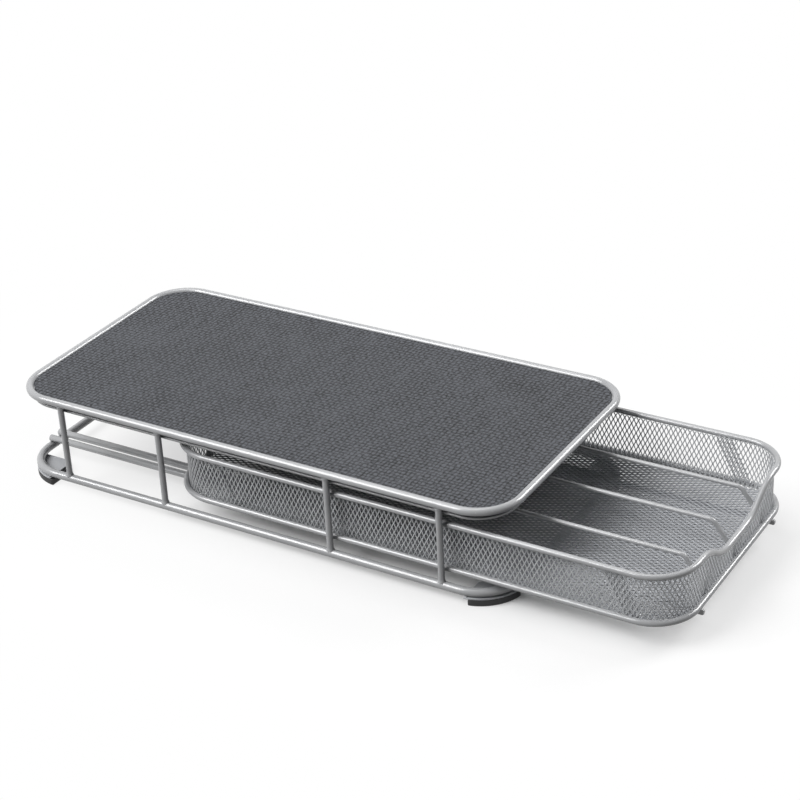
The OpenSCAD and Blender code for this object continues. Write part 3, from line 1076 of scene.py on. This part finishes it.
@dataclass
class Basket:
    """The sliding basket: two rims, walls and floor of expanded metal, dividers and runners.

    Attributes:
        shop: Makes the pieces.
        front: X of the centre line of the front wires.
        back: The same at the back.
        half: Y of the centre line of the side wires.
        mesh_in: From the rims' centre lines in to the mesh of the corner pieces.
        side_in: From there in to the mesh of the side walls.
        mesh_ends: How far the mesh stays below the top rim's centre line and goes below the floor's top.
        guide_step: Longest step of the line that a wall's mesh follows.
        face_depth: How far behind the front mesh the rim above it is still that of the front.
        scoop: The dip in the top rim: its depth, half its flat bottom and the length of each slope.
        seam: Width of the doubled band of the seams at the front.
        slant: Lean of the seams over the height of the wall.
        side_laps: How far the side walls run into the bends, at the back and at the front.
        floor_out: How far the floor's mesh runs out past the walls' mesh.
        floor_lines: Number of steps of the line that the floor's mesh follows.
        divider_gap: Free space between the mesh and a divider's ends.
        divider_slope: Length and drop of the slopes at a divider's ends.
        runner_nub: How far the runners stick out of the basket.
        runner_cut: Chamfer of the runners' ends.
        runner_bead: A weld bead at a runner: its shift sideways, its rise and its radius.
        divider_bead: A weld bead at a divider's end: its rise and its radius.
    """

    shop: Workshop
    front: float = 257.45
    back: float = -131.35
    half: float = 92.25
    front_r: float = 30.0
    back_r: float = 37.0
    wire_d: float = 4.2
    low_z: float = 19.5
    high_z: float = 53.2
    floor_z: float = 17.8
    floor_top: float = 18.2
    mesh_in: float = 2.5
    side_in: float = 0.9
    mesh_ends: tuple[float, float] = (0.4, 0.3)
    guide_step: float = 2.5
    face_depth: float = 0.6
    scoop: tuple[float, float, float] = (15.0, 12.0, 48.25)
    wall_metal: Expanded = Expanded(strand=0.42, sides=5)
    floor_metal: Expanded = Expanded(strand=0.64, sides=4)
    seam: float = 13.0
    slant: float = 17.0
    side_laps: tuple[float, float] = (2.0, 6.0)
    floor_out: float = 0.2
    floor_lines: int = 160
    divider_d: float = 3.2
    divider_gap: float = 0.4
    divider_y: tuple[float, ...] = (-46.0, 0.0, 46.0)
    divider_z: float = 45.0
    divider_slope: tuple[float, float] = (12.5, 16.6)
    divider_r: float = 5.0
    runner_d: float = 4.0
    runner_y: float = 59.05
    runner_z: float = 15.4
    runner_nub: float = 3.0
    runner_cut: float = 0.7
    runner_bead: tuple[float, float, float] = (1.5, 1.6, 0.8)
    divider_bead: tuple[float, float] = (0.2, 1.9)

    def build(self) -> None:
        """Builds every piece of the basket."""
        foot = plan_ring(self.back, self.front, self.half, self.back_r, self.front_r, self.low_z)
        for name, node, line in (("basket_rim_wire", "basket_top_rim", self.top_line()),
                                 ("basket_foot_wire", "basket_bottom_rim", foot)):
            self.shop.wire(Piece(name, Body.BASKET, (node,)), line, self.wire_d / 2, sides=24)
        self.walls()
        self.floor()
        self.dividers()
        radius = self.runner_d / 2
        for side, y in (("near", -self.runner_y), ("far", self.runner_y)):
            line = bar((self.back - self.runner_nub, y, self.runner_z),
                       (self.front + self.runner_nub, y, self.runner_z), radius, self.runner_cut)
            self.shop.wire(Piece(f"runner_wire_{side}", Body.BASKET, (f"runner_{side}",)), line, radius)
        self.beads()

    def scoop_corners(self) -> tuple[list[tuple[float, float]], list[float]]:
        """Finds the corners of the dip in the front of the top rim.

        Returns:
            Corners as (y, drop) from near to far, and their bend radii.
        """
        depth, flat, side = self.scoop
        turn = 2 * math.atan(depth / side)
        radius = side / (2 * math.sin(turn))
        reach = radius * math.tan(turn / 2)
        half = [(-flat - side + reach, 0.0), (-flat - reach, -depth)]
        return half + [(-y, z) for y, z in reversed(half)], [radius] * 4

    def top_line(self) -> Line:
        """Makes the top rim's centre line.

        Returns:
            The line.
        """
        dips, dip_radii = self.scoop_corners()
        corners = [(self.back, -self.half, self.high_z), (self.front, -self.half, self.high_z)]
        corners += [(self.front, y, self.high_z + z) for y, z in dips]
        corners += [(self.front, self.half, self.high_z), (self.back, self.half, self.high_z)]
        return bent(corners, [self.back_r, self.front_r, *dip_radii, self.front_r, self.back_r], closed=True,
                    step=2.5)

    def rim_height(self, y: float) -> float:
        """Finds the height of the top rim's centre line at the front.

        Args:
            y: The place across the basket.

        Returns:
            The height.
        """
        depth, flat, side = self.scoop
        t = min(1.0, max(0.0, (abs(y) - flat) / side))
        return self.high_z - depth * (1 - t * t * (3 - 2 * t))

    def wall_guide(self, corners: list, radii: list) -> tuple[Line, Limits]:
        """Makes the guide line of a wall, closely divided, with the height of the rim above each point.

        Args:
            corners: Corners of the line, in millimetres.
            radii: Their bend radii.

        Returns:
            The line, and the limits of the strands along it.
        """
        below_rim, below_floor = self.mesh_ends
        coarse = bent(corners, radii).points
        points = [coarse[0]]
        for a, b in zip(coarse, coarse[1:]):
            pieces = max(1, math.ceil((b - a).length / (self.guide_step * MM)))
            points += [a.lerp(b, k / pieces) for k in range(1, pieces + 1)]
        front_face = (self.front - self.mesh_in - self.face_depth) * MM
        tops = [(self.rim_height(p.y / MM) if p.x > front_face else self.high_z) * MM for p in points]
        low = [(self.floor_top - below_floor) * MM] * len(points)
        return Line(points), (low, [z - below_rim * MM for z in tops])

    def walls(self) -> None:
        """Builds the four mesh walls, which overlap in slanted seams near the corners."""
        m, h = self.mesh_in, self.half - self.mesh_in
        x0, x1 = self.back + m, self.front - m
        r0, r1 = self.back_r - m, self.front_r - m
        lap_back, lap_front = self.side_laps
        reach = self.seam + self.slant - lap_front
        plans = []
        for side, s in (("near", -1), ("far", 1)):
            y = s * (h - self.side_in)
            corners = [(x0 + r0 - lap_back, y, 0), (x1 - r1 + lap_front, y, 0)]
            plans.append((side, corners, [0, 0], (self.slant, self.slant)))
        for side, s, x, r in (("front", -1, x1, r1), ("back", 1, x0, r0)):
            inner = x + s * r + s * reach
            corners = [(inner, s * h, 0), (x, s * h, 0), (x, -s * h, 0), (inner, -s * h, 0)]
            plans.append((side, corners, [0, r, r, 0], (-s * self.slant, s * self.slant)))
        for side, corners, radii, slants in plans:
            # The walls take the lighter mesh colour, which is painted light on their strands.
            piece = Piece(f"mesh_wall_{side}", Body.BASKET, (f"mesh_{side}",), WALL_MESH_PAINTED_LIGHT, Slot.MESH)
            self.shop.panel(piece, *self.wall_guide(corners, radii), self.wall_metal, slants=slants)

    def floor(self) -> None:
        """Builds the mesh floor, whose strands run along the basket and stop at the rounded plan."""
        m = self.mesh_in - self.floor_out
        x0, x1, h = self.back + m, self.front - m, self.half - m
        r0, r1 = self.back_r - m, self.front_r - m
        points, low, high = [], [], []

        def bite(y: float, r: float) -> float:
            """Finds how much a rounded corner takes off the floor's length.

            Args:
                y: The place across the basket.
                r: Radius of the corner.

            Returns:
                The length that it takes off there.
            """
            past = max(0.0, abs(y) - (h - r))
            return r - math.sqrt(max(0.0, r * r - past * past))

        for k in range(self.floor_lines + 1):
            y = -h + 2 * h * k / self.floor_lines
            points.append(Vector((0, y, self.floor_z)) * MM)
            low.append((x0 + bite(y, r0)) * MM)
            high.append((x1 - bite(y, r1)) * MM)
        # The floor takes the darker mesh colour, which is painted shade.
        piece = Piece("mesh_floor_sheet", Body.BASKET, ("mesh_floor",), FLOOR_MESH_PAINTED_SHADE, Slot.MESH)
        self.shop.panel(piece, Line(points), (low, high), self.floor_metal, up=(1.0, 0.0, 0.0))

    def divider_ends(self) -> tuple[float, float]:
        """Returns the X of the dividers' upright parts, at the back and at the front."""
        inner = self.mesh_in + self.divider_gap + self.divider_d / 2
        return self.back + inner, self.front - inner

    def dividers(self) -> None:
        """Builds the three divider wires."""
        run, drop = self.divider_slope
        xb, xf = self.divider_ends()
        r, z = self.divider_r, self.divider_z
        for name, y in zip(("near", "mid", "far"), self.divider_y):
            corners = [(xb, y, self.floor_top), (xb, y, z - drop), (xb + run, y, z), (xf - run, y, z),
                       (xf, y, z - drop), (xf, y, self.floor_top)]
            self.shop.wire(Piece(f"divider_wire_{name}", Body.BASKET, (f"divider_{name}",)),
                           bent(corners, [0, r, r, r, r, 0], step=6), self.divider_d / 2)

    def beads(self) -> None:
        """Builds the weld beads under the foot wire and at the dividers' ends."""
        spots: list[Spot] = []
        beside, rise, radius = self.runner_bead
        for x in (self.back, self.front):
            for y in (-self.runner_y, self.runner_y):
                spots += [((x, y + shift, self.runner_z + rise), radius) for shift in (-beside, beside)]
        rise, radius = self.divider_bead
        for x in self.divider_ends():
            spots += [((x, y, self.floor_top + rise), radius) for y in self.divider_y]
        self.shop.welds("basket_weld_beads", Body.BASKET, spots)


# ---------------------------------------------------------------- the studio


@dataclass(frozen=True)
class Lamp:
    """A square soft lamp.

    Attributes:
        name: Its name.
        place: Where it is, in metres.
        size: Length of its sides, in metres.
        power: Its power, in watts.
    """

    name: str
    place: tuple[float, float, float]
    size: float
    power: float


@dataclass
class Studio:
    """Camera, lamps, floor and background.

    Attributes:
        target: Point that the camera looks at, in metres.
        distance: From the camera to that point.
        yaw: Turn of the camera about Z, in degrees.
        pitch: How far it looks down.
        roll: Its lean.
        focal_px: Focal length in pixels of a picture that is `picture_px` wide.
        picture_px: Width of the picture, in pixels.
        sensor: Width of the camera's sensor, in millimetres.
        clip: Nearest and farthest distance that the camera shows.
        fill: Strength of the light from all round.
        fill_colour: Colour of that light.
        floor_half: Half the length of the floor's sides.
        floor_tone: Tone of the floor as it is seen.
        floor_dim: Tone of the floor for the light that it throws back.
        floor_glow: How much of the floor is plain white close beside the basket.
        floor_under: How much of it is plain white right under the basket.
        white_middle: X of the middle of the basket, from where the floor fades to plain white, in metres.
        white_size: Half length and half width of the oval of that fade, in metres.
        white_from: Where the fade starts and ends, in sizes of the oval.
        white_curve: Power of the fade.
        under_from: Where the floor under the basket starts to fade, in sizes of the oval.
        lamp_aim: Point that the lamps look at, in metres.
        lamp_set: One lamp from the left and front, one overhead, and a weak one beyond the open end.
    """

    target: tuple[float, float, float] = (-0.01884, 0.04276, 0.05036)
    distance: float = 1.45138
    yaw: float = 32.218
    pitch: float = 28.346
    roll: float = 3.0986
    focal_px: float = 2025.3
    picture_px: float = 800.0
    sensor: float = 36.0
    clip: tuple[float, float] = (0.05, 30.0)
    fill: float = 0.05
    fill_colour: tuple[float, float, float, float] = (0.96, 0.98, 1.0, 1.0)
    floor_half: float = 6.0
    floor_tone: float = 0.92
    floor_dim: float = 0.10
    floor_glow: float = 0.42
    floor_under: float = 0.04
    white_middle: float = 0.063
    white_size: tuple[float, float] = (0.20, 0.10)
    white_from: tuple[float, float] = (0.9, 3.2)
    white_curve: float = 3.0
    under_from: float = 0.75
    lamp_aim: tuple[float, float, float] = (0.0, 0.0, 0.03)
    lamp_set: tuple[Lamp, ...] = (
        Lamp("lamp_key", (-1.25, -1.35, 1.75), size=1.45, power=62.0),
        Lamp("lamp_top", (-0.50, 0.10, 2.15), size=1.4, power=15.0),
        Lamp("lamp_side", (0.95, 1.45, 1.20), size=0.9, power=26.0))

    def build(self) -> None:
        """Builds the whole studio."""
        self.camera()
        self.world()
        self.floor()
        self.lamps()

    def camera(self) -> None:
        """Makes the camera."""
        yaw, pitch, roll = (math.radians(a) for a in (self.yaw, self.pitch, self.roll))
        ahead = Vector((-math.sin(yaw) * math.cos(pitch), math.cos(yaw) * math.cos(pitch), -math.sin(pitch)))
        right = ahead.cross(Vector((0, 0, 1))).normalized()
        down = ahead.cross(right)
        across = right * math.cos(roll) + down * math.sin(roll)
        below = down * math.cos(roll) - right * math.sin(roll)
        data = bpy.data.cameras.new("camera")
        data.sensor_width = self.sensor
        data.lens = self.focal_px / self.picture_px * self.sensor
        data.clip_start, data.clip_end = self.clip
        camera = linked("camera", data)
        turn = Matrix((across, -below, -ahead)).transposed().to_4x4()
        camera.matrix_world = Matrix.Translation(Vector(self.target) - ahead * self.distance) @ turn
        bpy.context.scene.camera = camera

    @staticmethod
    def seen(tree: Tree) -> Field:
        """Makes a mask that is 1 for what the camera, reflections and glass see straight.

        Args:
            tree: The tree that uses it.

        Returns:
            The mask.
        """
        path = tree.outs("ShaderNodeLightPath")
        both = tree.math("MAXIMUM", path["Is Camera Ray"], path["Is Glossy Ray"])
        return tree.math("MAXIMUM", both, path["Is Transmission Ray"])

    def world(self) -> None:
        """Makes the white background and the soft light from all round."""
        world = bpy.data.worlds.new("studio")
        tree = Tree.of(world)
        plain = tree.out("ShaderNodeBackground", {"Color": WHITE, "Strength": 1.0})
        soft = tree.out("ShaderNodeBackground", {"Color": self.fill_colour, "Strength": self.fill})
        mix = tree.out("ShaderNodeMixShader", {0: self.seen(tree), 1: soft, 2: plain})
        tree.add("ShaderNodeOutputWorld", {0: mix})
        bpy.context.scene.world = world

    def floor(self) -> None:
        """Makes the pale floor: a painted white glow for the camera and reflections, weaker beside the basket
        and nearly gone under it, so that the lamps' shadow shows there.
        """
        mesh = bpy.data.meshes.new("floor")
        size = self.floor_half
        mesh.from_pydata([(-size, -size, 0), (size, -size, 0), (size, size, 0), (-size, size, 0)], [],
                         [(0, 1, 2, 3)])
        floor = linked("floor", mesh)
        material = bpy.data.materials.new("floor")
        tree = Tree.of(material)
        seen = self.seen(tree)
        place = tree.out("ShaderNodeTexCoord", pick="Object")
        (x, y), near, far = self.white_size, *self.white_from
        offset = tree.vector("SUBTRACT", place, (self.white_middle, 0.0, 0.0))
        scaled = tree.vector("MULTIPLY", offset, (1 / x, 1 / y, 0.0))
        reach = tree.out("ShaderNodeVectorMath", {0: scaled}, "Value", operation="LENGTH")
        close = tree.ramp(reach, near, far, 1.0, 0.0)
        sides = tree.outs("ShaderNodeSeparateXYZ", {0: tree.vector("ABSOLUTE", scaled)})
        edge = tree.math("MAXIMUM", sides["X"], sides["Y"])
        under = tree.ramp(edge, self.under_from, 1.0, self.floor_glow - self.floor_under, 0.0)
        # Painted light: the floor's white glow fades out toward the basket and under it.
        dark = tree.math("POWER", close, self.white_curve) * (1.0 - self.floor_glow)
        white = 1.0 - dark - under
        tone = seen * (self.floor_tone - self.floor_dim) + self.floor_dim
        colour = tree.out("ShaderNodeCombineColor", {0: tone, 1: tone, 2: tone})
        shade = tree.out("ShaderNodeBsdfDiffuse", {"Color": colour})
        glow = tree.out("ShaderNodeEmission", {"Color": WHITE, "Strength": 1.0})
        mix = tree.out("ShaderNodeMixShader", {0: seen * white, 1: shade, 2: glow})
        tree.add("ShaderNodeOutputMaterial", {0: mix})
        mesh.materials.append(material)

    def lamps(self) -> None:
        """Makes the soft lamps."""
        for lamp in self.lamp_set:
            data = bpy.data.lights.new(lamp.name, "AREA")
            data.shape = "RECTANGLE"
            data.size = data.size_y = lamp.size
            data.energy = lamp.power
            made = linked(lamp.name, data)
            made.location = lamp.place
            made.rotation_mode = "QUATERNION"
            made.rotation_quaternion = (Vector(self.lamp_aim) - Vector(lamp.place)).to_track_quat("-Z", "Y")


def main() -> None:
    """Builds the stand, the basket and the studio."""
    logging.basicConfig(level=logging.INFO, format="%(name)s %(message)s")
    bpy.context.scene.view_settings.view_transform = "Standard"
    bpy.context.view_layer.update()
    shop = Workshop()
    Stand(shop).build()
    Basket(shop).build()
    Studio().build()
    LOG.info("%d pieces", shop.made)


if __name__ == "__main__":
    main()
